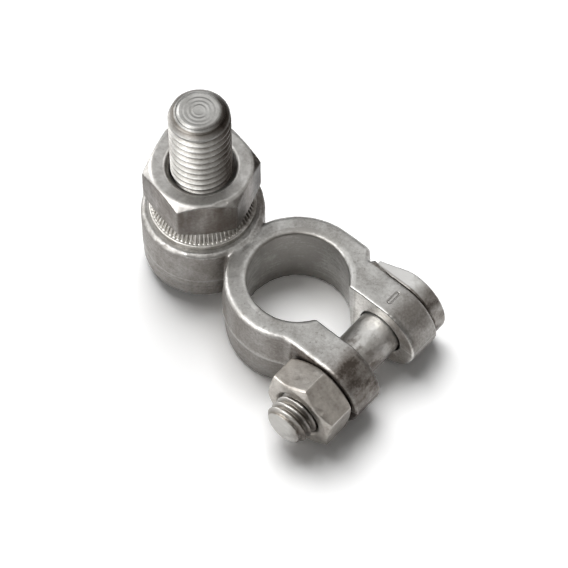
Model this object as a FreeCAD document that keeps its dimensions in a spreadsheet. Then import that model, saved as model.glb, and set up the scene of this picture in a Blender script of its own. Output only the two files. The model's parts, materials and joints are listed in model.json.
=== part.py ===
import FreeCAD, Part
import Sketcher
import math
import os

# Battery terminal clamp for a tapered post, with a stud terminal on a boss beside the ring.
# Millimetres. The origin lies on the post bore's axis in the clamp's underside.
# +X runs from the bore to the ears, +Y to the clamp bolt's head, +Z up.

SIZES = [
    ("clamp_height", 14.2, "casting, underside to ring top"),
    ("ring_radius", 12.3, "ring outside, at the parting line"),
    ("mould_draft", 3.0, "degrees, both ways from the parting line"),
    ("edge_bevel", 0.55, "outer edges of ring and ears"),
    ("bore_radius", 8.25, "post bore, at the ring top"),
    ("bore_taper", 9.0, "bore length for each millimetre of diameter"),
    ("bore_lead", 0.4, "chamfer at the bore's top edge"),
    ("slot_gap", 8.2, "between the ears"),
    ("ear_thickness", 6.1, "each ear, slot face to seat"),
    ("bolt_offset", 14.0, "bore axis to clamp bolt axis"),
    ("web_fillet", 1.6, "corner between ring and near ear"),
    ("shoulder_reach", 4.6, "flat of the shoulder that locks the bolt head"),
    ("shoulder_round", 1.5, "outer corner of the shoulder"),
    ("shoulder_fillet", 1.0, "inner corner of the shoulder"),
    ("seat_margin", 0.3, "shoulder fillet to the milled seat"),
    ("boss_offset", 20.6, "bore axis to stud axis"),
    ("boss_radius", 10.2, "boss outside"),
    ("boss_rise", 0.3, "boss top above the ring top"),
    ("boss_lift", 2.5, "boss underside above the clamp's underside"),
    ("boss_bevel", 0.55, "boss top edge"),
    ("boss_foot_bevel", 0.35, "boss bottom edge"),
    ("stud_radius", 5.0, "stud thread, outside"),
    ("stud_length", 26.9, "stud above the boss"),
    ("stud_tip_radius", 3.1, "flat end face of the stud"),
    ("stud_tip_length", 1.9, "lead of the stud, in two cones"),
    ("stud_lead_radius", 4.45, "stud, where its two lead cones meet"),
    ("stud_lead_length", 0.75, "steeper lead cone"),
    ("stud_head_radius", 6.5, "pressed-in head under the boss"),
    ("stud_head_height", 2.6, "pressed-in head"),
    ("stud_head_depth", 0.4, "head recessed into the boss underside"),
    ("thread_play", 0.05, "radial play between a thread and its nut"),
    ("washer_bore", 5.3, "lock washer hole radius"),
    ("washer_radius", 8.8, "lock washer rim"),
    ("washer_rim", 0.95, "lock washer rim height"),
    ("washer_height", 3.8, "lock washer, boss to nut"),
    ("washer_cone", 3.0, "wall of the conical part, measured up the axis"),
    ("washer_foot", 7.6, "inside radius of the ring that bears on the boss"),
    ("rib_foot_radius", 8.35, "outer ends of the ribs"),
    ("rib_top_radius", 7.2, "inner ends of the ribs"),
    ("rib_depth", 0.45, "ribs above the cone"),
    ("rib_width", 0.36, "each rib"),
    ("rib_count", 70, "ribs round the washer"),
    ("nut_flats", 16.7, "stud nut across flats"),
    ("nut_height", 8.0, "stud nut"),
    ("nut_face_radius", 7.95, "stud nut, chamfer circle"),
    ("nut_chamfer", 30.0, "degrees, both nuts"),
    ("nut_sink_radius", 5.9, "stud nut countersink"),
    ("nut_turn", 48.2, "degrees, a corner of the stud nut from +X"),
    ("bolt_radius", 3.9, "clamp bolt shank"),
    ("bolt_play", 0.2, "radial play of the shank in the ears"),
    ("bolt_length", 30.0, "under the head"),
    ("bolt_point", 0.9, "chamfer at the bolt's end"),
    ("head_thickness", 3.0, "bolt head over the shank"),
    ("head_tail_thickness", 1.1, "bolt head beside the shoulder"),
    ("head_radius", 6.5, "bolt head, round end and half height"),
    ("head_slope_end", 0.5, "slope ends short of the bolt axis"),
    ("head_tail_play", 0.5, "bolt head to the shoulder's inner corner"),
    ("head_edge_bevel", 0.3, "bolt head outer edges"),
    ("clamp_nut_flats", 12.6, "clamp nut across flats"),
    ("clamp_nut_height", 6.0, "clamp nut"),
    ("clamp_nut_face_radius", 5.95, "clamp nut, chamfer circle"),
    ("clamp_nut_sink_radius", 4.5, "clamp nut countersink"),
    ("clamp_nut_turn", 8.0, "degrees, lean of the upper corner to the bore"),
]

# Sizes that several pieces share, worked out from the sheet.
HALF = "Sizes.clamp_height / 2"
EAR_FACE = "(Sizes.slot_gap / 2 + Sizes.ear_thickness)"
DRAFT_SHIFT = "(Sizes.clamp_height / 2 * tan(Sizes.mould_draft))"
EAR_AT_PARTING = f"({EAR_FACE} + {DRAFT_SHIFT})"
BOSS_TOP = "(Sizes.clamp_height + Sizes.boss_rise)"
NUT_SEAT = f"({BOSS_TOP} + Sizes.washer_height)"
SHOULDER_END = (
    "(Sizes.shoulder_reach + sqrt((Sizes.shoulder_round + Sizes.shoulder_fillet)^2"
    f" - (Sizes.ring_radius - Sizes.shoulder_round - {EAR_AT_PARTING} - Sizes.shoulder_fillet)^2))"
)
SEAT_START = f"({SHOULDER_END} + Sizes.seat_margin)"
FAR_OUT = "(3 * Sizes.bolt_offset)"
UP = FreeCAD.Vector(0, 0, 1)
# Distance that tells one edge of a shape from another.
EDGE_MARGIN = 0.1

doc = FreeCAD.newDocument("battery_terminal_clamp")


def make_sheet():
    sheet = doc.addObject("Spreadsheet::Sheet", "Sizes")
    for row, (alias, value, note) in enumerate(SIZES, start=1):
        sheet.set(f"A{row}", note)
        sheet.set(f"B{row}", str(value))
        sheet.setAlias(f"B{row}", alias)
    doc.recompute()
    return sheet


def value_of(expression):
    result = sheet.evalExpression(expression.replace("Sizes.", ""))
    return float(getattr(result, "Value", result))


def new_body(name):
    body = doc.addObject("PartDesign::Body", name)
    body.Label = name
    return body


def place_body(body, x="0", y="0", z="0"):
    for axis, expression in (("x", x), ("y", y), ("z", z)):
        body.setExpression(f"Placement.Base.{axis}", expression)


def new_sketch(body, role, name, shift=None):
    sketch = body.newObject("Sketcher::SketchObject", name)
    plane = next(item for item in body.Origin.OriginFeatures if item.Role == role)
    sketch.AttachmentSupport = (plane, [""])
    sketch.MapMode = "FlatFace"
    for axis, expression in (shift or {}).items():
        sketch.setExpression(f"AttachmentOffset.Base.{axis}", expression)
    return sketch


def bind(sketch, kind, where, expression):
    value = value_of(expression)
    if kind == "Angle":
        value = math.radians(value)
    index = sketch.addConstraint(Sketcher.Constraint(kind, *where, value))
    sketch.setExpression(f"Constraints[{index}]", expression)


def bind_point(sketch, edge, end, x, y):
    bind(sketch, "DistanceX", (-1, 1, edge, end), x)
    bind(sketch, "DistanceY", (-1, 1, edge, end), y)


def arc_between(start, end, radius, clockwise):
    # Short arc from start to end, stored the anticlockwise way round.
    first, last = (end, start) if clockwise else (start, end)
    along = last - first
    reach = math.sqrt(max(radius ** 2 - (along.Length / 2) ** 2, 0.0))
    aside = FreeCAD.Vector(-along.y, along.x, 0).normalize()
    centre = (first + last) * 0.5 + aside * reach
    angles = [math.atan2(point.y - centre.y, point.x - centre.x) for point in (first, last)]
    if angles[1] < angles[0]:
        angles[1] += 2 * math.pi
    return Part.ArcOfCircle(Part.Circle(centre, UP, radius), *angles)


def draw_outline(sketch, corners, arcs=None):
    # Closed outline. Each corner is a pair of expressions; arcs maps an edge to its radius and sense.
    arcs = arcs or {}
    points = [FreeCAD.Vector(value_of(x), value_of(y), 0) for x, y in corners]
    ends = []
    for number, start in enumerate(points):
        end = points[(number + 1) % len(points)]
        if number in arcs:
            radius, sense = arcs[number]
            clockwise = sense == "clockwise"
            edge = sketch.addGeometry(arc_between(start, end, value_of(radius), clockwise))
            bind(sketch, "Radius", (edge,), radius)
            ends.append((2, 1) if clockwise else (1, 2))
        else:
            sketch.addGeometry(Part.LineSegment(start, end))
            ends.append((1, 2))
    for number, (x, y) in enumerate(corners):
        before = number - 1 if number else len(corners) - 1
        join = Sketcher.Constraint("Coincident", before, ends[before][1], number, ends[number][0])
        sketch.addConstraint(join)
        bind_point(sketch, number, ends[number][0], x, y)


def pad(body, sketch, name, length, symmetric=False, backwards=False, draft=None):
    feature = body.newObject("PartDesign::Pad", name)
    feature.Profile = sketch
    feature.SideType = "Symmetric" if symmetric else "One side"
    feature.Reversed = backwards
    feature.setExpression("Length", length)
    if draft:
        feature.setExpression("TaperAngle", draft)
    return feature


def cut_through(body, sketch, name):
    feature = body.newObject("PartDesign::Pocket", name)
    feature.Profile = sketch
    feature.SideType = "Symmetric"
    feature.Type = "ThroughAll"
    return feature


def turn(body, sketch, name, kind="PartDesign::Revolution"):
    feature = body.newObject(kind, name)
    feature.Profile = sketch
    feature.ReferenceAxis = (sketch, ["V_Axis"])
    feature.Angle = 360.0
    return feature


def middle_of(edge):
    return edge.valueAt((edge.FirstParameter + edge.LastParameter) / 2)


def draw_casting_outline(sketch):
    # Seen from above at the parting line: ring, near web, both ears as one block, far shoulder.
    radius = value_of("Sizes.ring_radius")
    ear = value_of(EAR_AT_PARTING)
    web = value_of("Sizes.web_fillet")
    reach = value_of("Sizes.shoulder_reach")
    outer = value_of("Sizes.shoulder_round")
    inner = value_of("Sizes.shoulder_fillet")
    shoulder_end = value_of(SHOULDER_END)
    far_out = value_of(FAR_OUT)
    web_y = -(ear + web)
    web_x = math.sqrt((radius + web) ** 2 - web_y ** 2)
    web_angle = math.atan2(-web_y, -web_x)
    lean = math.atan2(ear + inner - radius + outer, shoulder_end - reach)

    def arc(x, y, size, start, end):
        circle = Part.Circle(FreeCAD.Vector(x, y, 0), UP, size)
        return sketch.addGeometry(Part.ArcOfCircle(circle, start, end))

    def line(x1, y1, x2, y2):
        return sketch.addGeometry(Part.LineSegment(FreeCAD.Vector(x1, y1, 0), FreeCAD.Vector(x2, y2, 0)))

    ring = arc(0, 0, radius, math.pi / 2, web_angle + math.pi)
    near_web = arc(web_x, web_y, web, math.pi / 2, web_angle)
    near_side = line(web_x, -ear, far_out, -ear)
    end_side = line(far_out, -ear, far_out, ear)
    far_side = line(far_out, ear, shoulder_end, ear)
    notch = arc(shoulder_end, ear + inner, inner, math.pi + lean, 1.5 * math.pi)
    corner = arc(reach, radius - outer, outer, lean, math.pi / 2)
    flank = line(reach, radius, 0, radius)
    joins = [
        ("Tangent", flank, 2, ring, 1),
        ("Tangent", ring, 2, near_web, 2),
        ("Tangent", near_web, 1, near_side, 1),
        ("Coincident", near_side, 2, end_side, 1),
        ("Coincident", end_side, 2, far_side, 1),
        ("Tangent", far_side, 2, notch, 2),
        ("Tangent", notch, 1, corner, 1),
        ("Tangent", corner, 2, flank, 1),
        ("Coincident", ring, 3, -1, 1),
    ]
    for join in joins:
        sketch.addConstraint(Sketcher.Constraint(*join))
    for edge in (near_side, far_side, flank):
        sketch.addConstraint(Sketcher.Constraint("Horizontal", edge))
    sketch.addConstraint(Sketcher.Constraint("Vertical", end_side))
    bind(sketch, "Radius", (ring,), "Sizes.ring_radius")
    bind(sketch, "Radius", (near_web,), "Sizes.web_fillet")
    bind(sketch, "Radius", (notch,), "Sizes.shoulder_fillet")
    bind(sketch, "Radius", (corner,), "Sizes.shoulder_round")
    bind(sketch, "DistanceX", (-1, 1, corner, 3), "Sizes.shoulder_reach")
    bind_point(sketch, end_side, 1, FAR_OUT, f"-{EAR_AT_PARTING}")
    bind(sketch, "DistanceY", (-1, 1, end_side, 2), EAR_AT_PARTING)


def cut_ear_ends(body):
    # Takes away what lies outside the round end of the ears, above the parting line.
    sketch = new_sketch(body, "XZ_Plane", "ear_end_outline")
    above = "Sizes.clamp_height"
    below = f"-{HALF}"
    tip = f"Sizes.bolt_offset + {HALF}"
    beyond = f"2 * {FAR_OUT}"
    corners = [
        ("Sizes.bolt_offset", HALF), (tip, "0"), (tip, below),
        (beyond, below), (beyond, above), ("Sizes.bolt_offset", above),
    ]
    draw_outline(sketch, corners, {0: (HALF, "clockwise")})
    cut_through(body, sketch, "ear_ends")


def outer_edges(shape):
    # Edges of the half casting's rim: round its top face and round both ear ends.
    top = value_of(HALF)
    bolt = value_of("Sizes.bolt_offset")
    inside = value_of(EAR_FACE) / 2
    names = []
    for number, edge in enumerate(shape.Edges, start=1):
        middle = middle_of(edge)
        on_top = all(abs(vertex.Z - top) < EDGE_MARGIN for vertex in edge.Vertexes)
        across = middle.x > 0 and abs(middle.y) < inside
        on_ear_end = middle.x > bolt + EDGE_MARGIN and EDGE_MARGIN < middle.z < top - EDGE_MARGIN
        if (on_top or on_ear_end) and not across:
            names.append(f"Edge{number}")
    return names


def bevel_edges(body, base, name, edges, size):
    rim = body.newObject("PartDesign::Chamfer", name)
    rim.Base = (base, edges)
    rim.setExpression("Size", size)


def bevel_half(body, base):
    doc.recompute()
    bevel_edges(body, base, "outer_bevel", outer_edges(base.Shape), "Sizes.edge_bevel")


def mirror_half(body):
    doc.recompute()
    whole = body.newObject("PartDesign::Mirrored", "lower_half")
    whole.TransformMode = "Whole shape"
    plane = next(item for item in body.Origin.OriginFeatures if item.Role == "XY_Plane")
    whole.MirrorPlane = (plane, [""])
    body.Tip = whole
    doc.recompute()


def draw_box(sketch, low_x, high_x, low_y, high_y):
    draw_outline(sketch, [(low_x, low_y), (high_x, low_y), (high_x, high_y), (low_x, high_y)])


def mill_seats(body):
    # Flat seats for the bolt's head and its nut, square to the bolt.
    beyond = f"({EAR_AT_PARTING} + Sizes.ear_thickness)"
    for side, sign in (("far_seat", ""), ("near_seat", "-")):
        sketch = new_sketch(body, "XY_Plane", f"{side}_outline")
        low, high = f"{sign}{EAR_FACE}", f"{sign}{beyond}"
        draw_box(sketch, SEAT_START, FAR_OUT, low, high)
        cut_through(body, sketch, side)


def add_boss(body):
    sketch = new_sketch(body, "XZ_Plane", "boss_profile", {"x": "-Sizes.boss_offset"})
    foot = f"(Sizes.boss_lift - {HALF})"
    top = f"({HALF} + Sizes.boss_rise)"
    corners = [
        ("0", foot), ("Sizes.boss_radius - Sizes.boss_foot_bevel", foot),
        ("Sizes.boss_radius", f"{foot} + Sizes.boss_foot_bevel"),
        ("Sizes.boss_radius", f"{top} - Sizes.boss_bevel"),
        ("Sizes.boss_radius - Sizes.boss_bevel", top), ("0", top),
    ]
    draw_outline(sketch, corners)
    turn(body, sketch, "boss")


def cut_post_bore(body):
    # Tapered like the post, with a small lead at the top edge.
    sketch = new_sketch(body, "XZ_Plane", "bore_profile")
    lead_radius = "(Sizes.bore_radius + Sizes.bore_lead / Sizes.bore_taper / 2)"
    bottom_radius = "(Sizes.bore_radius + Sizes.clamp_height / Sizes.bore_taper / 2)"
    corners = [
        ("0", f"-{HALF}"), (bottom_radius, f"-{HALF}"), (lead_radius, f"{HALF} - Sizes.bore_lead"),
        (f"{lead_radius} + Sizes.bore_lead", HALF), ("0", HALF),
    ]
    draw_outline(sketch, corners)
    turn(body, sketch, "post_bore", "PartDesign::Groove")


def cut_slot(body):
    sketch = new_sketch(body, "XY_Plane", "slot_outline")
    draw_box(sketch, "0", FAR_OUT, "-Sizes.slot_gap / 2", "Sizes.slot_gap / 2")
    cut_through(body, sketch, "slot")


def cut_bolt_hole(body):
    sketch = new_sketch(body, "XZ_Plane", "bolt_hole_outline", {"x": "Sizes.bolt_offset"})
    draw_circle(sketch, "Sizes.bolt_radius + Sizes.bolt_play")
    cut_through(body, sketch, "bolt_hole")


def draw_circle(sketch, radius):
    circle = sketch.addGeometry(Part.Circle(FreeCAD.Vector(), UP, value_of(radius)))
    sketch.addConstraint(Sketcher.Constraint("Coincident", circle, 3, -1, 1))
    bind(sketch, "Radius", (circle,), radius)


def cut_stud_seat(body):
    # Stepped hole that the stud is pressed into from below.
    sketch = new_sketch(body, "XZ_Plane", "stud_seat_profile", {"x": "-Sizes.boss_offset"})
    foot = f"(Sizes.boss_lift - {HALF})"
    step = f"({foot} + Sizes.stud_head_depth + Sizes.stud_head_height)"
    top = f"({HALF} + Sizes.boss_rise)"
    corners = [
        ("0", foot), ("Sizes.stud_head_radius", foot), ("Sizes.stud_head_radius", step),
        ("Sizes.stud_radius", step), ("Sizes.stud_radius", top), ("0", top),
    ]
    draw_outline(sketch, corners)
    turn(body, sketch, "stud_seat", "PartDesign::Groove")


def make_clamp_body():
    # One casting. Its own origin lies on the parting plane, halfway up.
    body = new_body("clamp_body")
    place_body(body, z=HALF)
    outline = new_sketch(body, "XY_Plane", "casting_outline")
    draw_casting_outline(outline)
    pad(body, outline, "upper_half", HALF, draft="-Sizes.mould_draft")
    cut_ear_ends(body)
    bevel_half(body, body.Tip)
    mirror_half(body)
    mill_seats(body)
    add_boss(body)
    cut_post_bore(body)
    cut_slot(body)
    cut_bolt_hole(body)
    cut_stud_seat(body)
    return body


def make_stud():
    # Threaded stud with a round head, pressed into the boss from below.
    body = new_body("stud")
    place_body(body, x="-Sizes.boss_offset", z=BOSS_TOP)
    sketch = new_sketch(body, "XZ_Plane", "stud_profile")
    foot = f"(Sizes.boss_lift + Sizes.stud_head_depth - {BOSS_TOP})"
    step = f"({foot} + Sizes.stud_head_height)"
    corners = [
        ("0", foot), ("Sizes.stud_head_radius", foot), ("Sizes.stud_head_radius", step),
        ("Sizes.stud_radius", step), ("Sizes.stud_radius", "Sizes.stud_length - Sizes.stud_tip_length"),
        ("Sizes.stud_lead_radius", "Sizes.stud_length - Sizes.stud_lead_length"),
        ("Sizes.stud_tip_radius", "Sizes.stud_length"), ("0", "Sizes.stud_length"),
    ]
    draw_outline(sketch, corners)
    turn(body, sketch, "turned_stud")
    return body


def make_lock_washer():
    # Conical spring washer: a plain rim, and radial ribs up the cone to the nut.
    body = new_body("lock_washer")
    place_body(body, x="-Sizes.boss_offset", z=BOSS_TOP)
    sketch = new_sketch(body, "XZ_Plane", "washer_profile")
    slope = "((Sizes.washer_height - Sizes.washer_rim) / (Sizes.rib_foot_radius - Sizes.rib_top_radius))"
    core_foot = "(Sizes.rib_foot_radius - Sizes.rib_depth)"
    core_top = "(Sizes.rib_top_radius - Sizes.rib_depth)"
    under_top = "(Sizes.washer_height - Sizes.washer_cone)"
    corners = [
        ("Sizes.washer_foot", "0"), ("Sizes.washer_radius", "0"), ("Sizes.washer_radius", "Sizes.washer_rim"),
        (core_foot, "Sizes.washer_rim"), (core_top, "Sizes.washer_height"),
        ("Sizes.washer_bore", "Sizes.washer_height"), ("Sizes.washer_bore", under_top),
    ]
    draw_outline(sketch, corners)
    turn(body, sketch, "washer_cone")
    rib_sketch = new_sketch(body, "XZ_Plane", "rib_profile")
    rib_inside = f"({core_top} - Sizes.rib_depth)"
    rib_corners = [
        (rib_inside, "Sizes.washer_rim"), ("Sizes.rib_foot_radius", "Sizes.washer_rim"),
        ("Sizes.rib_top_radius", "Sizes.washer_height"), (rib_inside, "Sizes.washer_height"),
    ]
    draw_outline(rib_sketch, rib_corners)
    rib = pad(body, rib_sketch, "rib", "Sizes.rib_width", symmetric=True)
    doc.recompute()
    ribs = body.newObject("PartDesign::PolarPattern", "ribs")
    ribs.Originals = [rib]
    axis = next(item for item in body.Origin.OriginFeatures if item.Role == "Z_Axis")
    ribs.Axis = (axis, [""])
    ribs.Angle = 360.0
    ribs.setExpression("Occurrences", "Sizes.rib_count")
    body.Tip = ribs
    return body


def draw_hexagon(sketch, flats, first_corner):
    # Regular hexagon on a construction circle; the first corner stands at the given angle.
    radius = f"({flats} / sqrt(3))"
    size = value_of(radius)
    start = math.radians(value_of(first_corner))
    corners = []
    for number in range(6):
        angle = start + number * math.pi / 3
        corners.append(FreeCAD.Vector(size * math.cos(angle), size * math.sin(angle), 0))
    for number in range(6):
        sketch.addGeometry(Part.LineSegment(corners[number], corners[(number + 1) % 6]))
    circle = sketch.addGeometry(Part.Circle(FreeCAD.Vector(), UP, size), True)
    spoke = sketch.addGeometry(Part.LineSegment(FreeCAD.Vector(), corners[0]), True)
    for number in range(6):
        following = (number + 1) % 6
        sketch.addConstraint(Sketcher.Constraint("Coincident", number, 2, following, 1))
        sketch.addConstraint(Sketcher.Constraint("PointOnObject", number, 1, circle))
    for number in range(5):
        sketch.addConstraint(Sketcher.Constraint("Equal", number, number + 1))
    sketch.addConstraint(Sketcher.Constraint("Coincident", circle, 3, -1, 1))
    sketch.addConstraint(Sketcher.Constraint("Coincident", spoke, 1, -1, 1))
    sketch.addConstraint(Sketcher.Constraint("Coincident", spoke, 2, 0, 1))
    bind(sketch, "Radius", (circle,), radius)
    bind(sketch, "Angle", (-1, 1, spoke, 1), first_corner)


def chamfer_corners(body, flats, height, face_radius):
    # Cone that takes the hexagon's corners off at one end face.
    corner = f"({flats} / sqrt(3))"
    drop = f"(({corner} - {face_radius}) * tan(Sizes.nut_chamfer))"
    for name, low, high, outside in (
        ("lower_corners", "0", drop, "0"),
        ("upper_corners", height, f"{height} - {drop}", height),
    ):
        sketch = new_sketch(body, "XZ_Plane", f"{name}_profile")
        draw_outline(sketch, [(face_radius, low), (corner, high), (corner, outside)])
        turn(body, sketch, name, "PartDesign::Groove")


def bore_nut(body, height, radius, sink_radius):
    sketch = new_sketch(body, "XZ_Plane", "thread_profile")
    depth = f"({sink_radius} - {radius})"
    corners = [
        ("0", "0"), (sink_radius, "0"), (radius, depth), (radius, f"{height} - {depth}"),
        (sink_radius, height), ("0", height),
    ]
    draw_outline(sketch, corners)
    turn(body, sketch, "thread_hole", "PartDesign::Groove")


def make_nut(name, flats, height, first_corner, face_radius, thread_radius, sink_radius):
    body = new_body(name)
    sketch = new_sketch(body, "XY_Plane", "hexagon")
    draw_hexagon(sketch, flats, first_corner)
    pad(body, sketch, "hexagon_bar", height)
    chamfer_corners(body, flats, height, face_radius)
    bore_nut(body, height, f"({thread_radius} + Sizes.thread_play)", sink_radius)
    return body


def make_stud_nut():
    body = make_nut(
        "stud_nut", "Sizes.nut_flats", "Sizes.nut_height", "Sizes.nut_turn",
        "Sizes.nut_face_radius", "Sizes.stud_radius", "Sizes.nut_sink_radius",
    )
    place_body(body, x="-Sizes.boss_offset", z=NUT_SEAT)
    return body


def make_clamp_nut():
    # Modelled upright, then laid down so that its axis runs from the near ear's seat along -Y.
    body = make_nut(
        "clamp_nut", "Sizes.clamp_nut_flats", "Sizes.clamp_nut_height", "90 - Sizes.clamp_nut_turn",
        "Sizes.clamp_nut_face_radius", "Sizes.bolt_radius", "Sizes.clamp_nut_sink_radius",
    )
    body.Placement = FreeCAD.Placement(FreeCAD.Vector(), FreeCAD.Rotation(FreeCAD.Vector(1, 0, 0), 90))
    place_body(body, x="Sizes.bolt_offset", y=f"-{EAR_FACE}", z=HALF)
    return body


def draw_head_face(sketch):
    # Head seen along the shank: square beside the shoulder, round at the other end.
    tail = f"({SEAT_START} + Sizes.head_tail_play - Sizes.bolt_offset)"
    corners = [
        ("0", "Sizes.head_radius"), (tail, "Sizes.head_radius"), (tail, "-Sizes.head_radius"),
        ("0", "-Sizes.head_radius"), ("Sizes.head_radius", "0"),
    ]
    rounds = {3: ("Sizes.head_radius", "anticlockwise"), 4: ("Sizes.head_radius", "anticlockwise")}
    draw_outline(sketch, corners, rounds)
    return tail


def make_clamp_bolt():
    # T-head bolt. Its own origin lies under the head, on the far ear's seat; the shank runs to -Y.
    body = new_body("clamp_bolt")
    place_body(body, x="Sizes.bolt_offset", y=EAR_FACE, z=HALF)
    face = new_sketch(body, "XZ_Plane", "head_face")
    tail = draw_head_face(face)
    plate = pad(body, face, "head_plate", "Sizes.head_thickness", backwards=True)
    bevel_head(body, plate)
    slope = new_sketch(body, "XY_Plane", "head_slope")
    outside = "Sizes.head_thickness"
    slope_end = "-Sizes.head_slope_end"
    draw_outline(slope, [(tail, "Sizes.head_tail_thickness"), (slope_end, outside), (tail, outside)])
    cut_through(body, slope, "sloped_tail")
    shank = new_sketch(body, "XZ_Plane", "shank_outline")
    draw_circle(shank, "Sizes.bolt_radius")
    pad(body, shank, "shank", "Sizes.bolt_length")
    point_shank(body)
    return body


def bevel_head(body, base):
    # Outer edges of the head, away from the ear, all but the square end's.
    doc.recompute()
    outer_face = value_of("Sizes.head_thickness")
    names = []
    for number, edge in enumerate(base.Shape.Edges, start=1):
        outside = all(vertex.Y > outer_face - EDGE_MARGIN for vertex in edge.Vertexes)
        across = abs(middle_of(edge).z) < EDGE_MARGIN
        if outside and not across:
            names.append(f"Edge{number}")
    bevel_edges(body, base, "head_bevel", names, "Sizes.head_edge_bevel")


def point_shank(body):
    sketch = new_sketch(body, "XY_Plane", "point_profile")
    inside = "(Sizes.bolt_radius - Sizes.bolt_point)"
    end = "-Sizes.bolt_length"
    corners = [(inside, end), ("Sizes.bolt_radius", f"{end} + Sizes.bolt_point"), ("Sizes.bolt_radius", end)]
    draw_outline(sketch, corners)
    turn(body, sketch, "point", "PartDesign::Groove")


def check_document():
    for item in doc.Objects:
        if "Invalid" in item.State or "Error" in item.State:
            raise RuntimeError(f"{item.Name}: {item.State}")


def export(bodies):
    os.makedirs("parts", exist_ok=True)
    for body in bodies:
        shape = body.Shape
        if shape.isNull() or not shape.isValid() or len(shape.Solids) != 1:
            raise RuntimeError(f"{body.Label}: shape is not one valid solid")
        shape.exportStep(f"parts/{body.Label}.step")
        box = shape.optimalBoundingBox()
        lengths = " x ".join(f"{length:.2f}" for length in (box.XLength, box.YLength, box.ZLength))
        print(f"{body.Label}: {shape.Volume:.1f} mm3, {lengths} mm")


sheet = make_sheet()
bodies = [
    make_clamp_body(), make_stud(), make_lock_washer(),
    make_stud_nut(), make_clamp_bolt(), make_clamp_nut(),
]
doc.recompute()
check_document()
export(bodies)
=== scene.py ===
import json
import math

import bpy
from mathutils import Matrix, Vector

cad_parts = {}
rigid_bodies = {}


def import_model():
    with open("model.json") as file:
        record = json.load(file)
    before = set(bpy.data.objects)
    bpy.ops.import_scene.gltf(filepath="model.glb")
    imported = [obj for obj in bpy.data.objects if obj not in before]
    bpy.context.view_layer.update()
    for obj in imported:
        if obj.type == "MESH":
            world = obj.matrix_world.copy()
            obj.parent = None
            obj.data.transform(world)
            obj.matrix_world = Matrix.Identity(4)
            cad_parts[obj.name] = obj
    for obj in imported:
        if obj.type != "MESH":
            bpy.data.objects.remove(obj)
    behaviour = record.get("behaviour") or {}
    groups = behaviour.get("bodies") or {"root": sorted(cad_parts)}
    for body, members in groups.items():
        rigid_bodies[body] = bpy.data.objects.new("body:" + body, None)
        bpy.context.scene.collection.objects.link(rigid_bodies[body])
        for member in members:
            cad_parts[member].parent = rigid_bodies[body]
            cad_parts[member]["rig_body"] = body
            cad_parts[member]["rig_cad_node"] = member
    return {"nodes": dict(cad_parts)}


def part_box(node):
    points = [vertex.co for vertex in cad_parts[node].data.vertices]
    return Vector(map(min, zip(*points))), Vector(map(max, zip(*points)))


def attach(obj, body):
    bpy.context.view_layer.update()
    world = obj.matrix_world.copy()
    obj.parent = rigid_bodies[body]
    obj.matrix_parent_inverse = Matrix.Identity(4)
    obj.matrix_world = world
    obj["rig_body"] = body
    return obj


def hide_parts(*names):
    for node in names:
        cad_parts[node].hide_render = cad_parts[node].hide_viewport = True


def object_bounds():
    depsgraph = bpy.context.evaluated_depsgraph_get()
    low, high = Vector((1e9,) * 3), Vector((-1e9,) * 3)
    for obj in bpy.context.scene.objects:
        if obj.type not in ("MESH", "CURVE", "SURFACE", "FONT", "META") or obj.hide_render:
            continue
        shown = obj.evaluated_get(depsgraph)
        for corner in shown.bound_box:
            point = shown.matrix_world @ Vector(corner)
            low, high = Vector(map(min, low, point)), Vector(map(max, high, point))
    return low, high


# Battery terminal clamp: tin-plated casting, stud with lock washer and nut, cross bolt with nut.
# Metres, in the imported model's frame: +X to the ears, +Y to the bolt's head, +Z up.

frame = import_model()
cad_low, cad_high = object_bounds()

MM = 0.001
UP = Vector((0, 0, 1))


def middle(node):
    low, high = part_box(node)
    return (low + high) / 2


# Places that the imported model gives.
STUD_AXIS = middle("stud")
STUD_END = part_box("stud")[1].z
BOLT_AXIS = middle("clamp_nut")
BOLT_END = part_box("clamp_bolt")[0].y
BOSS_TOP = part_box("lock_washer")[0].z
NEAR_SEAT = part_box("clamp_nut")[1].y
HALF_HEIGHT = BOLT_AXIS.z

# Casting sizes that the finish follows.
BORE_CLEAR = 10.5 * MM
BOSS_CLEAR = 10.6 * MM
SLOT_CLEAR = 4.5 * MM
SEAT_START = 7.2 * MM
SEAT_TOLERANCE = 0.02 * MM
SEAT_ROUND = 0.6 * MM
HEAD_ROUND = 0.35 * MM
FLASH_GAP = 0.25 * MM
FLASH_RADIUS = 0.24 * MM
BOSS_RADIUS = 10.2 * MM
BOSS_FOOT_LINE = 5.4 * MM
BOSS_FOOT_SKIN = 0.9
BOSS_FOOT_TAPER = 0.988

# Stud: turned blank and its end. In millimetres, a lead step is a radius and its depth below the end, and a
# turned ring is an inset and a rise.
STUD_RADIUS = 5.0 * MM
STUD_HEAD_RADIUS = 6.5 * MM
STUD_HEAD_HEIGHT = 2.6 * MM
STUD_FACETS = 96
STUD_SMOOTH_ANGLE = 18
LEAD_STEPS = [
    (5.0, 1.9), (4.88, 1.35), (4.72, 1.0), (4.46, 0.72), (4.1, 0.46),
    (3.75, 0.27), (3.62, 0.3), (3.45, 0.13), (3.3, 0.05), (3.2, 0.0),
]
TURNED_RINGS = [
    (0.25, 0.0), (0.3, -0.07), (0.3, 0.06), (0.4, -0.06),
    (0.35, 0.06), (0.35, -0.07), (0.3, 0.06), (0.35, -0.07),
]

# Threads: pitch, and the V groove's depth and half widths as shares of the pitch.
STUD_PITCH = 1.5 * MM
BOLT_RADIUS = 3.9 * MM
BOLT_PITCH = 1.25 * MM
BOLT_THREAD = 15.5 * MM
BOLT_START = 0.5
GROOVE_DEPTH = 0.58
GROOVE_CREST = 0.42
GROOVE_ROOT = 0.07
GROOVE_OVER = 0.3
TURN_STEPS = 64

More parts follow.
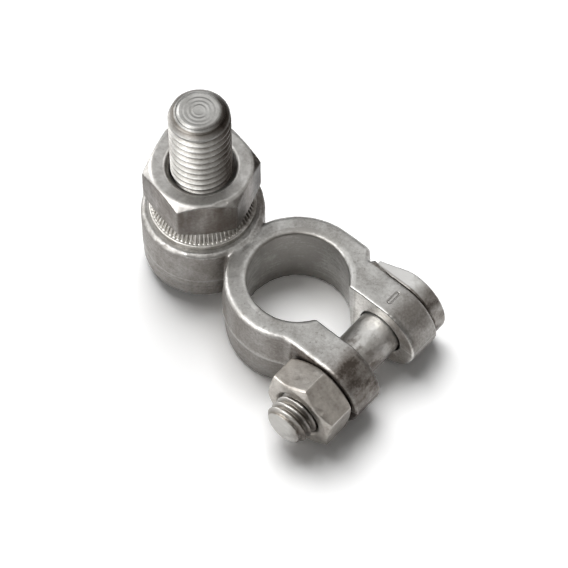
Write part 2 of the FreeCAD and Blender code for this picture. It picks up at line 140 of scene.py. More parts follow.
# Mesh finish: how close points merge, the cosine of a face that looks along an axis, the size of the skin's
# faces, and how the points are evened out.
MERGE = 0.002 * MM
FACING = 0.99
CASTING_VOXEL = 0.25 * MM
BOLT_VOXEL = 0.14 * MM
NUT_VOXEL = 0.17 * MM
WASHER_VOXEL = 0.12 * MM
CASTING_ROUNDS = 4
BOLT_ROUNDS = 2
STUD_NUT_ROUNDS = 2
SIDE_NUT_ROUNDS = 6
WASHER_ROUNDS = 1
STANDOUT_ROUNDS = 12
EASE_FACTOR = 0.5

# Unevenness: size and height of its lumps, in millimetres.
CASTING_LUMPS = (2.6, 0.12)
CASTING_GRAIN = (0.8, 0.04)
RIM_KNOCKS = (1.3, 0.45)
RIM_REACH = 0.9 * MM
BOLT_LUMPS = (2.0, 0.14)
BOLT_GRAIN = (0.7, 0.05)
TORN_LUMPS = (1.3, 0.9)
TORN_REACH = 1.6 * MM
TORN_LEVEL = 0.85
NUT_LUMPS = (3.0, 0.06)

# Knocks in the nuts, in millimetres: from, to, half width.
KNOCK_DEPTH = 0.14
STUD_NUT_MARKS = [
    ((-13.4, -3.9, 26.2), (-12.9, -2.9, 26.2), 0.5),
    ((-12.6, -4.1, 25.6), (-12.3, -3.5, 25.4), 0.4),
]
SIDE_NUT_MARKS = [
    ((12.2, -15.4, 14.0), (12.9, -14.2, 14.1), 0.4),
    ((17.6, -16.0, 12.1), (18.3, -15.6, 11.6), 0.5),
    ((20.4, -15.9, 8.4), (20.5, -15.7, 7.4), 0.5),
]

# From here to the floor, sizes are in millimetres. A row of four numbers is a ramp: two values on the way in
# and the two that they give. A row of two gives 0 and 1.

# Plating: what each metal sets, and how the tone, the brown stains with painted shade, and the roughness
# follow from it.
PLATING_INPUTS = [
    ("Bright", "Color", (0.7, 0.69, 0.66, 1)),
    ("Dull", "Color", (0.42, 0.41, 0.38, 1)),
    ("Dark Brown", "Color", (0.122, 0.102, 0.087, 1)),
    ("Cloud Size", "Float", 4.0),
    ("Grain Size", "Float", 0.5),
    ("Rough", "Float", 0.42),
    ("Edge Wear And Painted Light", "Float", 0.6),
    ("Wall Shade", "Float", 0.0),
    ("Stain And Shade", "Float", 0.0),
    ("Tone Shift", "Float", 0.0),
    ("Specks", "Float", 0.0),
    ("Gain", "Float", 1.0),
]
PLATING_OUTPUTS = [("Color", "Color"), ("Roughness", "Float"), ("Height", "Float")]
STANDOUT = "standout"
# How far a point stands out for a worn edge with a painted highlight, and sinks for painted shade in hollows.
EDGE_STANDS = (0.02, 0.09)
HOLLOW_SINKS = (-0.02, -0.09)
EDGE_POLISH = 0.2
CLOUD_RANGE = (0.36, 0.64)
CLOUD_SHARE = 0.5
GRAIN_ROUGHNESS = 0.65
MOTTLE_RANGE = (0.34, 0.66)
MOTTLE_SHARE = 0.4
SPECK_SIZE = 0.45
SPECK_SHIFT = (7.0, 3.0, 5.0)
SPECK_RANGE = (0.62, 0.7)
# Painted shade on upright walls follows their levelness and the tone.
WALL_BY_LEVEL = (0.15, 0.85, 1.0, 0.0)
WALL_SHADE_BY_TONE = (0.0, 1.2, 1.0, 0.6)
STAIN_AND_SHADE_BY_TONE = (0.2, 1.1, 1.0, 0.6)
GAIN_BY_STAIN_AND_SHADE = (0.75, 1.0, 1.0, 0.6)
ROUGH_BY_CLOUD = (0.0, 1.0, 0.05, -0.05)
ROUGH_BY_GRAIN = (0.3, 0.7, 0.06, -0.06)
RELIEF_OF_CLOUDS = 0.5
RELIEF_OF_SPECKS = 0.4

# Metals: height of the bump, and the plating's inputs that differ.
METALS = {
    "cast tin": (0.035, {
        "Bright": (0.51, 0.505, 0.49, 1), "Dull": (0.28, 0.27, 0.255, 1),
        "Cloud Size": 4.0, "Grain Size": 0.45, "Rough": 0.46, "Edge Wear And Painted Light": 0.6, "Specks": 0.4,
    }),
    "turned tin": (0.012, {
        "Bright": (0.51, 0.505, 0.49, 1), "Dull": (0.33, 0.325, 0.31, 1),
        "Cloud Size": 3.0, "Grain Size": 0.4, "Rough": 0.38, "Edge Wear And Painted Light": 0.0, "Wall Shade": 0.1,
    }),
    "nut tin": (0.015, {
        "Bright": (0.48, 0.47, 0.455, 1), "Dull": (0.31, 0.30, 0.285, 1),
        "Cloud Size": 5.0, "Grain Size": 0.6, "Rough": 0.38, "Edge Wear And Painted Light": 0.6, "Specks": 0.3,
    }),
    "washer tin": (0.008, {
        "Bright": (0.7, 0.685, 0.655, 1), "Dull": (0.36, 0.345, 0.315, 1),
        "Cloud Size": 2.0, "Grain Size": 0.3, "Rough": 0.42, "Edge Wear And Painted Light": 0.45, "Wall Shade": 0.3,
    }),
    "side nut tin": (0.025, {
        "Bright": (0.56, 0.535, 0.50, 1), "Dull": (0.34, 0.315, 0.285, 1),
        "Cloud Size": 3.0, "Grain Size": 0.6, "Rough": 0.42, "Edge Wear And Painted Light": 0.2, "Specks": 0.3,
    }),
    "bolt tin": (0.025, {
        "Bright": (0.61, 0.605, 0.59, 1), "Dull": (0.43, 0.42, 0.40, 1),
        "Cloud Size": 2.5, "Grain Size": 0.5, "Rough": 0.40, "Edge Wear And Painted Light": 0.6, "Specks": 0.25,
    }),
}

# Painted shade at the bottom of a thread, as a share of the metal's own colour.
THREAD_ROOT_SHADE = (0.42, 0.385, 0.35, 1.0)
ROOT_MARGIN = 0.15

# Brown stains at the ear ends: metal, the X where they start and are full, amount at the near and far ear.
END_STAINS = [
    ("cast tin", 12.8, 16.5, 1.1, 0.62),
    ("bolt tin", 15.0, 17.5, 0.9, 1.0),
]
EARS = (-5, 5)
END_STAIN_SIZE = 2.2
END_STAIN_STRETCH = (1.0, 0.45, 1.0)
END_STAIN_CLOUDS = (0.35, 0.65, 0.55, 1.0)

# Painted shade, brown and darker, on one side of the stud's axis: metal, azimuth, the cosine where it starts
# and is full, inner radius, amount, gain of the darker tone, and the outer radius of the one that has its
# own.
PAINTED_SIDE_SHADES = [
    ("turned tin", 131, 0.4, 0.85, 3.4, 0.95, 0.65),
    ("turned tin", -49, 0.75, 1.0, 3.4, 0.3, 0.8),
    ("cast tin", -60, 0.75, 0.97, 9.0, 0.2, 0.78),
    ("cast tin", 150, 0.5, 0.9, 4.0, 0.75, 0.62, 10.5),
    ("washer tin", 135, 0.5, 0.9, 4.0, 0.7, 0.62),
    ("nut tin", -41, 0.9, 0.98, 8.3, 0.2, 0.78),
    ("nut tin", 150, 0.7, 0.95, 8.3, 0.9, 0.5),
    ("nut tin", 108, 0.84, 0.88, 8.3, 0.6, 0.58),
    ("nut tin", 48, 0.84, 0.88, 8.3, 0.3, 0.78),
]
SIDE_SHADE_REACH = 40.0
INNER_BLEND = 0.3
OUTER_BLEND = 0.4

# Brown blots on the side nut.
SIDE_NUT_BLOTS = (3.0, 0.4)
BLOT_SHIFT = (3.0, 1.0, 6.0)
BLOT_RANGE = (0.48, 0.64)

# Painted shade in the gap where the bolt's head and nut meet the ears, thinner at the nut, from a given X on.
SEAM_SHADE = (0.36, 0.6, 1.0, 0.0)
SEAM_THINNING = (-1, 1, 2.2, 1.0)
SEAM_FROM = (6.8, 7.6)

# Stud's end: gain of its face and of the rounded lead, which paints shade that dims their highlight, and the
# radii between them.
END_GAIN = 0.93
LEAD_GAIN = 0.64
LEAD_RADII = (3.2, 3.45)
LEAD_DEPTH = 2.1
LEAD_BLEND = 0.5

# Oblong punch mark in the far ear's top.
PUNCH_START = (14.2, 6.1, 14.2)
PUNCH_RUN = (0.0, 1.9, 0.0)
PUNCH_RADIUS = 0.32
PUNCH_LINE = (0.05, 0.16, 1.0, 0.0)
PUNCH_DARKENING = 0.5
PUNCH_DEPTH = 3.0

# Machined faces of the casting: the reamed bore, the sawn slot and the slot's rim, with painted light and
# shade.
# Painted shade on the casting's upright walls, and the share of it that the bore and slot keep.
CAST_WALL_SHADE = 0.62
MACHINED_RADIUS = 9.5
MACHINED_BLEND = 0.2
MACHINED_WALL_SHADE = 0.15
# The bore's gain is partly cleaner metal and partly painted light; below it, painted light and shade on the
# bore's sides by azimuth.
BORE_GAIN = 1.12
BORE_SIDE_LIGHT_AND_SHADE = [
    (221, (0.3, 0.95, 0.0, -0.65)),
    (131, (0.3, 0.95, 0.0, 0.3)),
]
TURNING_STRETCH = (0.25, 0.25, 2.5)
TURNING_SIZE = 1.0
TURNING_TONE = (0.3, 0.7, -0.3, 0.45)
SAWN_HALF = 4.4
SLOT_BY_LEVEL = (0.15, 0.4, 1.0, 0.0)
SLOT_FROM = (8.0, 9.0)
# Painted reflection that brightens the slot's faces.
SLOT_GAIN = 2.0
RIM_BY_LEVEL = [(0.15, 0.4), (0.9, 0.97, 1.0, 0.0)]
RIM_ACROSS = (5.0, 4.7)
RIM_FROM = (7.0, 8.0)
# Painted shade that dims the highlight on the slot's rim.
RIM_GAIN = 0.7
# Painted highlight along the parting line.
FLASH_HIGHLIGHT = (0.1, 0.3, 0.5, 0.0)
FLASH_BLEND = 0.5

# Stud nut: painted light in its countersink, and upright streaks on its flats, which also carry painted
# shade.
COUNTERSINK = 6.3
COUNTERSINK_BLEND = 0.2
# Painted light that brightens the countersink.
COUNTERSINK_GAIN = 1.7
STREAK_STRETCH = (1, 1, 0.12)
STREAK_SIZE = 1.2
STREAK_TONE = (0.35, 0.65, -0.2, 0.3)

# Bolt: tones along Y of its shank in the slot, which are painted light and shade, and of its threaded end,
# which is painted shade, and the head's evenly bright face.
SHANK_LIGHT_AND_SHADE = (-4.0, 2.0, -0.7, 0.4)
SHANK_IN_SLOT = (4.0, 5.0, 1.0, 0.0)
SHANK_END_SHADE = (-17.0, -15.0, -0.6, 0.0)
SHANK_BLOT_SIZE = 1.7
SHANK_BLOT_STRETCH = (1.0, 0.7, 1.0)
SHANK_BLOT_RANGE = (0.5, 0.62)
SHANK_BLOT_AMOUNT = (-4.0, 3.0, 0.75, 0.3)
HEAD_FROM = (8.4, 8.9)
HEAD_TONE = (13.0, 15.0, 0.7, 0.0)
HEAD_FACE_TONE = (12.6, 13.0, 1.0, 0.1)
HEAD_GAIN = (0.0, 0.7, 1.0, 0.93)

# Floor, in metres: its own tone, and what the camera and the metal see of it near the object and far away.
FLOOR_SIZE = 4.0
FLOOR_COLOUR = (0.8, 0.8, 0.8, 1)
FLOOR_REACH = (0.2, 1.2)
FLOOR_SEEN = (1.15, 6.0)

# Lamps: azimuth, elevation, size, power. The boxes give the metal its highlights and leave the floor alone.
LAMP_DISTANCE = 0.8
WINDOW = (-121, 67, 0.54, 6.8)
METAL_BOXES = [
    ("left box", -82, 20, 0.5, 3.0),
    ("near box", -22, 30, 0.5, 4.0),
    ("high box", -10, 56, 0.4, 1.8),
]

# Room: its tones from the side away from the window to the window's side, and its even light on the floor.
WINDOW_SIDE = (-130, 50)
ROOM_TONES = [
    (0.32, (0.07, 0.058, 0.05, 1)),
    (0.6, (0.56, 0.54, 0.52, 1)),
    (0.79, (0.64, 0.635, 0.62, 1)),
    (0.95, (1.27, 1.27, 1.27, 1)),
]
ROOM_ON_FLOOR = (0.12, 0.12, 0.12, 1)

# Dark stretch low on the wall behind the object: its middle, and a ramp from the cosine to the share kept.
FAR_WALL = (221, 8)
FAR_WALL_KEEPS = (0.77, 0.93, 1.0, 0.05)

# Camera: the photograph's view, in degrees.
CAMERA_AZIMUTH = 41.191
CAMERA_ELEVATION = 58.124
CAMERA_PLACE = Vector((168.9, -196.4, 428.4)) * MM
CAMERA_LENS = 192.0


def towards(azimuth, elevation):
    """Direction from the object to a place in the studio. Azimuth 0 is the -Y side, 90 the +X side."""
    turn, rise = math.radians(azimuth), math.radians(elevation)
    return Vector((math.sin(turn) * math.cos(rise), -math.cos(turn) * math.cos(rise), math.sin(rise)))


def deselect():
    for item in bpy.context.selected_objects:
        item.select_set(False)


def make_active(piece):
    deselect()
    piece.select_set(True)
    bpy.context.view_layer.objects.active = piece


def duplicate(piece):
    make_active(piece)
    bpy.ops.object.duplicate()
    return bpy.context.object


def apply_modifier(piece, modifier):
    make_active(piece)
    bpy.ops.object.modifier_apply(modifier=modifier.name)


def settle(piece):
    """Puts the piece's place into its mesh, so that its object sits at the origin."""
    make_active(piece)
    bpy.ops.object.transform_apply(location=True, rotation=True, scale=True)


def edit(piece, kind, action="SELECT"):
    """Goes to edit mode with all of the piece selected, or none of it."""
    make_active(piece)
    bpy.ops.object.mode_set(mode="EDIT")
    bpy.ops.mesh.select_mode(type=kind)
    bpy.ops.mesh.select_all(action=action)


def leave_edit():
    bpy.ops.object.mode_set(mode="OBJECT")


def select_where(piece, kind, chosen):
    """Goes to edit mode with only those vertices or faces selected that pass."""
    edit(piece, kind, "DESELECT")
    leave_edit()
    for item in piece.data.vertices if kind == "VERT" else piece.data.polygons:
        item.select = chosen(item)
    bpy.ops.object.mode_set(mode="EDIT")


def copy_of_node(node, name):
    """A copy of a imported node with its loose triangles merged. The node itself stays as it is."""
    piece = duplicate(frame["nodes"][node])
    bpy.ops.object.parent_clear(type="CLEAR_KEEP_TRANSFORM")
    piece.name = name
    piece.data.name = name
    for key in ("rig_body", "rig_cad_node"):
        del piece[key]
    bpy.ops.mesh.customdata_custom_splitnormals_clear()
    edit(piece, "VERT")
    bpy.ops.mesh.remove_doubles(threshold=MERGE)
    leave_edit()
    return piece


def even_out(piece, rounds):
    ease = piece.modifiers.new("ease", "SMOOTH")
    ease.factor = EASE_FACTOR
    ease.iterations = rounds
    apply_modifier(piece, ease)


def soften(piece, voxel, rounds):
    """Rounds every edge a little, as plating and handling do."""
    skin = piece.modifiers.new("skin", "REMESH")
    skin.mode = "VOXEL"
    skin.voxel_size = voxel
    skin.use_smooth_shade = True
    apply_modifier(piece, skin)
    even_out(piece, rounds)


def roughen(piece, name, lumps, where="", level=0.5):
    """Unevenness in soft lumps of the given size and height, all over or in one vertex group.

    The level is the share of the height that lies below the surface.
    """
    size, height = lumps
    texture = bpy.data.textures.new(name, "CLOUDS")
    texture.noise_scale = size * MM
    texture.noise_depth = 2
    relief = piece.modifiers.new(name, "DISPLACE")
    relief.texture = texture
    relief.texture_coords = "LOCAL"
    relief.strength = height * MM
    relief.mid_level = level
    relief.vertex_group = where
    apply_modifier(piece, relief)


def mark_standout(piece):
    """Stores how far each point stands out from a smoother copy, in millimetres."""
    eased = duplicate(piece)
    even_out(eased, STANDOUT_ROUNDS)
    standout = piece.data.attributes.new(STANDOUT, "FLOAT", "POINT")
    for vertex, other, stored in zip(piece.data.vertices, eased.data.vertices, standout.data):
        stored.value = (vertex.co - other.co).dot(vertex.normal) / MM
    bpy.data.objects.remove(eased, do_unlink=True)


def cut(piece, tool, operation="DIFFERENCE"):
    """Boolean with a closed tool, which is removed afterwards."""
    blade = piece.modifiers.new("cut", "BOOLEAN")
    blade.operation = operation
    blade.solver = "EXACT"
    blade.object = tool
    apply_modifier(piece, blade)
    bpy.data.objects.remove(tool, do_unlink=True)


def make_thread_groove(name, radius, pitch, low, high):
    """Closed helical groove tool, right-handed about +Z, for a cylinder of that radius."""
    outside = radius + GROOVE_OVER * pitch
    root = radius - GROOVE_DEPTH * pitch
    crest_half = GROOVE_CREST * pitch
    root_half = GROOVE_ROOT * pitch
    corners = [
        (root, -root_half), (radius, -crest_half), (outside, -crest_half),
        (outside, crest_half), (radius, crest_half), (root, root_half),
    ]
    deselect()
    bpy.ops.mesh.primitive_circle_add(vertices=len(corners), fill_type="NOTHING")
    tool = bpy.context.object
    tool.name = name
    for vertex, (x, z) in zip(tool.data.vertices, corners):
        vertex.co = (x, 0, low + z)
    screw = tool.modifiers.new("screw", "SCREW")
    screw.axis = "Z"
    screw.angle = math.tau
    screw.screw_offset = pitch
    screw.iterations = math.ceil((high - low) / pitch)
    screw.steps = TURN_STEPS
    screw.render_steps = TURN_STEPS
    apply_modifier(tool, screw)
    edit(tool, "EDGE")
    bpy.ops.mesh.fill_holes(sides=0)
    bpy.ops.mesh.select_all(action="SELECT")
    bpy.ops.mesh.normals_make_consistent(inside=False)
    leave_edit()
    return tool


def finish_piece(piece, node, body, material):
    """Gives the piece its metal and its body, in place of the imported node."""
    piece.data.materials.clear()
    piece.data.materials.append(material)
    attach(piece, body)
    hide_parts(node)


def off_parting_line(vertex):
    """True in the bore, the boss, the slot and the milled seats, which carry no flash."""
    x, y = vertex.co.x, vertex.co.y
    in_bore = math.hypot(x, y) < BORE_CLEAR
    in_boss = math.hypot(x - STUD_AXIS.x, y) < BOSS_CLEAR
    on_seat = x > SEAT_START and abs(abs(y) + NEAR_SEAT) < FLASH_GAP
    in_slot = x > 0 and abs(y) < SLOT_CLEAR
    return in_bore or in_boss or on_seat or in_slot


def add_flash(piece):
    """Thin ridge that the mould leaves round the ring and the ear ends, at half height."""
    bead = duplicate(piece)
    edit(bead, "VERT")
    bpy.ops.mesh.bisect(plane_co=(0, 0, HALF_HEIGHT), plane_no=UP, clear_inner=True, clear_outer=True)
    leave_edit()
    select_where(bead, "VERT", off_parting_line)
    bpy.ops.mesh.delete(type="VERT")
    leave_edit()
    bpy.ops.object.convert(target="CURVE")
    bead = bpy.context.object
    bead.data.bevel_depth = FLASH_RADIUS
    bead.data.bevel_resolution = 2
    bead.data.use_fill_caps = True
    bpy.ops.object.convert(target="MESH")
    cut(piece, bpy.context.object, "UNION")


def is_seat(face):
    in_plane = abs(abs(face.center.y) + NEAR_SEAT) < SEAT_TOLERANCE
    return face.center.x > SEAT_START and abs(face.normal.y) > FACING and in_plane


def round_seat_edges(piece, size):
    """Rounds the edges of what lies in the planes of the two milled seats."""
    select_where(piece, "FACE", is_seat)
    bpy.ops.mesh.region_to_loop()
    bpy.ops.mesh.bevel(offset=size, segments=3, affect="EDGES")
    leave_edit()


def press_marks(piece, marks):
    """Presses dents into a fine mesh. Each is a stroke from one point to another, with its half width."""
    for start, end, width in marks:
        start, end = Vector(start) * MM, Vector(end) * MM
        run = end - start
        for vertex in piece.data.vertices:
            along = max(0.0, min(1.0, (vertex.co - start).dot(run) / run.length_squared))
            away = (vertex.co - start - run * along).length / (width * MM)
            if away < 1:
                vertex.co -= vertex.normal * KNOCK_DEPTH * MM * (1 - away * away)


def is_boss_foot(vertex):
    x, y, z = vertex.co
    outside = math.hypot(x - STUD_AXIS.x, y) > BOSS_RADIUS * BOSS_FOOT_SKIN
    return outside and x < -BOSS_CLEAR and z < BOSS_FOOT_LINE


def taper_boss_foot(piece):
    """Below its mould line the boss draws in a little."""
    select_where(piece, "VERT", is_boss_foot)
    scale = (BOSS_FOOT_TAPER, BOSS_FOOT_TAPER, 1)
    bpy.ops.transform.resize(value=scale, center_override=(STUD_AXIS.x, STUD_AXIS.y, BOSS_FOOT_LINE))
    leave_edit()


def batter_rim(piece):
    """Knocks along the boss's top edge."""
    rim = piece.vertex_groups.new(name="boss rim")
    for vertex in piece.data.vertices:
        out = math.hypot(vertex.co.x - STUD_AXIS.x, vertex.co.y) - BOSS_RADIUS
        away = math.hypot(out, vertex.co.z - BOSS_TOP) / RIM_REACH
        if away < 1:
            rim.add([vertex.index], 1 - away, "REPLACE")
    roughen(piece, "boss rim", RIM_KNOCKS, "boss rim")


def make_casting(material):
    piece = copy_of_node("clamp_body", "casting")
    round_seat_edges(piece, SEAT_ROUND)
    add_flash(piece)
    soften(piece, CASTING_VOXEL, CASTING_ROUNDS)
    taper_boss_foot(piece)
    batter_rim(piece)
    roughen(piece, "casting lumps", CASTING_LUMPS)
    roughen(piece, "casting grain", CASTING_GRAIN)
    mark_standout(piece)
    finish_piece(piece, "clamp_body", "clamp", material)


def make_stud(material):
    """Headed blank turned to a rounded lead, its end face left with the lathe's rings, then threaded."""
    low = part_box("stud")[0].z
    deselect()
    bpy.ops.mesh.primitive_cylinder_add(
        vertices=STUD_FACETS, radius=STUD_HEAD_RADIUS, depth=STUD_HEAD_HEIGHT,
        location=(STUD_AXIS.x, STUD_AXIS.y, low + STUD_HEAD_HEIGHT / 2),
    )
    piece = bpy.context.object
    piece.name = "threaded_stud"
    settle(piece)
    select_where(piece, "FACE", lambda face: face.normal.z > FACING)
    bpy.ops.mesh.inset(thickness=STUD_HEAD_RADIUS - STUD_RADIUS)
    height = low + STUD_HEAD_HEIGHT
    radius = STUD_RADIUS
    for next_radius, below_end in LEAD_STEPS:
        next_height = STUD_END - below_end * MM
        bpy.ops.mesh.extrude_region_move(TRANSFORM_OT_translate={"value": (0, 0, next_height - height)})
        scale = next_radius * MM / radius
        centre = (STUD_AXIS.x, STUD_AXIS.y, next_height)
        bpy.ops.transform.resize(value=(scale, scale, 1), center_override=centre)
        height = next_height
        radius = next_radius * MM
    for inset, rise in TURNED_RINGS:
        bpy.ops.mesh.inset(thickness=inset * MM)
        bpy.ops.transform.translate(value=(0, 0, rise * MM))
    leave_edit()
    groove = make_thread_groove(
        "stud groove", STUD_RADIUS, STUD_PITCH, BOSS_TOP + STUD_PITCH / 2, STUD_END + STUD_PITCH,
    )
    groove.location = (STUD_AXIS.x, STUD_AXIS.y, 0)
    settle(groove)
    cut(piece, groove)
    make_active(piece)
    bpy.ops.object.shade_smooth_by_angle(angle=math.radians(STUD_SMOOTH_ANGLE))
    finish_piece(piece, "stud", "clamp", material)


def make_bolt(material):
    """Head and shank as packed, threaded from the end to inside the near ear, with a torn end face."""
    piece = copy_of_node("clamp_bolt", "cross_bolt_threaded")
    round_seat_edges(piece, HEAD_ROUND)
    groove = make_thread_groove(
        "bolt groove", BOLT_RADIUS, BOLT_PITCH, -BOLT_PITCH * (1 + BOLT_START), BOLT_THREAD,
    )
    groove.rotation_euler = (-math.pi / 2, 0, 0)
    groove.location = (BOLT_AXIS.x, BOLT_END, BOLT_AXIS.z)
    settle(groove)
    cut(piece, groove)
    soften(piece, BOLT_VOXEL, BOLT_ROUNDS)
    shank = piece.vertex_groups.new(name="shank")
    shank.add([vertex.index for vertex in piece.data.vertices if vertex.co.y < -NEAR_SEAT], 1, "REPLACE")
    roughen(piece, "bolt lumps", BOLT_LUMPS, "shank")
    roughen(piece, "bolt grain", BOLT_GRAIN, "shank")
    torn = piece.vertex_groups.new(name="torn end")
    for vertex in piece.data.vertices:
        away = max((vertex.co.y - BOLT_END) / TORN_REACH, 0)
        across = (vertex.co.x - BOLT_AXIS.x) / BOLT_RADIUS
        if away < 1 and across > 0:
            torn.add([vertex.index], (1 - away) * min(across, 1), "REPLACE")
    roughen(piece, "torn end", TORN_LUMPS, "torn end", TORN_LEVEL)
    mark_standout(piece)
    finish_piece(piece, "clamp_bolt", "cross_bolt", material)


def make_nut(node, name, body, material, marks, rounds):
    """Nut as packed, its edges more worn with more rounds, and knocked where the marks are."""
    piece = copy_of_node(node, name)
    soften(piece, NUT_VOXEL, rounds)
    roughen(piece, name + " lumps", NUT_LUMPS)
    press_marks(piece, marks)
    mark_standout(piece)
    finish_piece(piece, node, body, material)


def make_washer(material):
    piece = copy_of_node("lock_washer", "ribbed_washer")
    soften(piece, WASHER_VOXEL, WASHER_ROUNDS)
    mark_standout(piece)
    finish_piece(piece, "lock_washer", "washer", material)


class Wiring:
    """Adds and joins the nodes of one tree."""

    def __init__(self, tree):
        self.nodes = tree.nodes
        self.links = tree.links

    def add(self, kind, **values):
        node = self.nodes.new("ShaderNode" + kind)
        for key, value in values.items():
            setattr(node, key, value)
        return node

    def join(self, value, socket):
        if isinstance(value, (int, float, tuple, Vector)):
            socket.default_value = value
        else:
            self.links.new(value, socket)

    def maths(self, operation, first, *others):
        """One node for one or two values, and a chain of them for more."""
        for other in others or (0.0,):
            node = self.add("Math", operation=operation)
            self.join(first, node.inputs[0])
            self.join(other, node.inputs[1])
            first = node.outputs[0]
        return first

    def ramp(self, value, low, high, first=0.0, last=1.0):
        node = self.add("MapRange", clamp=True)
        self.join(value, node.inputs["Value"])
        for name, number in (("From Min", low), ("From Max", high), ("To Min", first), ("To Max", last)):
            node.inputs[name].default_value = number
        return node.outputs["Result"]

    def share(self, value, last):
        """1 where the value is 0, and the given number where it is 1."""
        return self.ramp(value, 0, 1, 1.0, last)

    def blend(self, factor, first, second, kind="MIX"):
        node = self.add("Mix", data_type="RGBA", blend_type=kind)
        self.join(factor, node.inputs["Factor"])
        self.join(first, node.inputs["A"])
        self.join(second, node.inputs["B"])
        return node.outputs["Result"]

    def vector(self, operation, first, second=(0.0, 0.0, 0.0)):
        node = self.add("VectorMath", operation=operation)
        self.join(first, node.inputs[0])
        self.join(second, node.inputs["Scale" if operation == "SCALE" else 1])
        return node.outputs["Value" if operation in ("LENGTH", "DOT_PRODUCT") else "Vector"]

    def axes(self, vector):
        node = self.add("SeparateXYZ")
        self.join(vector, node.inputs[0])
        return node.outputs["X"], node.outputs["Y"], node.outputs["Z"]

    def place(self):
        """Object coordinates in millimetres."""
        return self.vector("MULTIPLY", self.add("TexCoord").outputs["Object"], (1 / MM, 1 / MM, 1 / MM))

    def off_axis(self, axis=Vector((0, 0, 0)), across=(1, 1, 0)):
        """Offset from an axis in millimetres, upright as a rule. The part along the axis is left out."""
        offset = self.vector("SUBTRACT", self.place(), axis / MM)
        return self.vector("MULTIPLY", offset, across)

    def facing(self, offset, azimuth):
        """Cosine between an offset and the given azimuth."""
        return self.vector("DOT_PRODUCT", self.vector("NORMALIZE", offset), towards(azimuth, 0))

    def levelness(self):
        """0 on an upright wall and 1 on a level face."""
        return self.maths("ABSOLUTE", self.axes(self.add("TexCoord").outputs["Normal"])[2])

    def noise(self, place, size, detail=3, roughness=0.55):
        node = self.add("TexNoise")
        self.join(place, node.inputs["Vector"])
        self.join(self.maths("DIVIDE", 1.0, size), node.inputs["Scale"])
        node.inputs["Detail"].default_value = detail
        node.inputs["Roughness"].default_value = roughness
        return node.outputs["Fac"]


def make_plating_group():
    """Satin tin: clouds, fine grain, specks, worn edges with a painted highlight, painted shade in hollows
    and on upright walls, and brown stains with painted shade.
    """
    group = bpy.data.node_groups.new("tin plating", "ShaderNodeTree")
    for name, kind, value in PLATING_INPUTS:
        socket = group.interface.new_socket(name=name, in_out="INPUT", socket_type="NodeSocket" + kind)
        socket.default_value = value
    for name, kind in PLATING_OUTPUTS:
        group.interface.new_socket(name=name, in_out="OUTPUT", socket_type="NodeSocket" + kind)
    wires = Wiring(group)
    given = group.nodes.new("NodeGroupInput").outputs
    result = group.nodes.new("NodeGroupOutput").inputs

    place = wires.place()
    clouds = wires.ramp(wires.noise(place, given["Cloud Size"], 5), *CLOUD_RANGE)
    grain = wires.noise(place, given["Grain Size"], 4, GRAIN_ROUGHNESS)
    specks = wires.ramp(wires.noise(wires.vector("ADD", place, SPECK_SHIFT), SPECK_SIZE, 2), *SPECK_RANGE)
    specks = wires.maths("MULTIPLY", specks, given["Specks"])
    stands = wires.add("Attribute", attribute_name=STANDOUT).outputs["Fac"]
    # Points that stand out are worn and polished and get a painted highlight; hollows get painted shade.
    edge = wires.maths("MULTIPLY", wires.ramp(stands, *EDGE_STANDS), given["Edge Wear And Painted Light"])
    hollow_shade = wires.maths("MULTIPLY", wires.ramp(stands, *HOLLOW_SINKS), given["Edge Wear And Painted Light"])

    cloud_tone = wires.maths("MULTIPLY", clouds, CLOUD_SHARE)
    mottle_tone = wires.maths("MULTIPLY", wires.ramp(grain, *MOTTLE_RANGE), MOTTLE_SHARE)
    tone = wires.maths("ADD", cloud_tone, mottle_tone, given["Tone Shift"], edge)
    tone = wires.maths("SUBTRACT", tone, hollow_shade, specks)
    colour = wires.blend(wires.ramp(tone, 0, 1), given["Dull"], given["Bright"])
    # Painted shade: upright walls are darkened towards the dark brown.
    wall = wires.ramp(wires.levelness(), *WALL_BY_LEVEL)
    wall_shade = wires.maths("MULTIPLY", wall, given["Wall Shade"], wires.ramp(tone, *WALL_SHADE_BY_TONE))
    # Brown stains and painted shade blend towards the dark brown and lower the gain.
    stain_and_shade = wires.maths("MULTIPLY", given["Stain And Shade"], wires.ramp(tone, *STAIN_AND_SHADE_BY_TONE))
    colour = wires.blend(wires.maths("MAXIMUM", wall_shade, stain_and_shade), colour, given["Dark Brown"])
    gain = wires.maths("MULTIPLY", given["Gain"], wires.ramp(stain_and_shade, *GAIN_BY_STAIN_AND_SHADE))
    wires.join(wires.vector("SCALE", colour, gain), result["Color"])

    by_cloud = wires.ramp(clouds, *ROUGH_BY_CLOUD)
    by_grain = wires.ramp(grain, *ROUGH_BY_GRAIN)
    rough = wires.maths("ADD", given["Rough"], by_cloud, by_grain)
    rough = wires.maths("SUBTRACT", rough, wires.maths("MULTIPLY", edge, EDGE_POLISH))
    wires.join(rough, result["Roughness"])

    relief = wires.maths("ADD", grain, wires.maths("MULTIPLY", clouds, RELIEF_OF_CLOUDS))
    pits = wires.maths("MULTIPLY", specks, RELIEF_OF_SPECKS)
    wires.join(wires.maths("SUBTRACT", relief, pits), result["Height"])
    return group


def make_metal(name, plating, bump, values):
    """Tin-plated metal with its own tones and sizes."""
    material = bpy.data.materials.new(name)
    material.use_nodes = True
    wires = Wiring(material.node_tree)
    shader = wires.nodes["Principled BSDF"].inputs
    shader["Metallic"].default_value = 1.0
    coat = wires.add("Group", node_tree=plating, name="coat")
    for key, value in values.items():
        coat.inputs[key].default_value = value
    wires.join(coat.outputs["Color"], shader["Base Color"])
    wires.join(coat.outputs["Roughness"], shader["Roughness"])
    relief = wires.add("Bump", name="relief")
    relief.inputs["Distance"].default_value = bump * MM
    wires.join(coat.outputs["Height"], relief.inputs["Height"])
    wires.join(relief.outputs["Normal"], shader["Normal"])
    return material


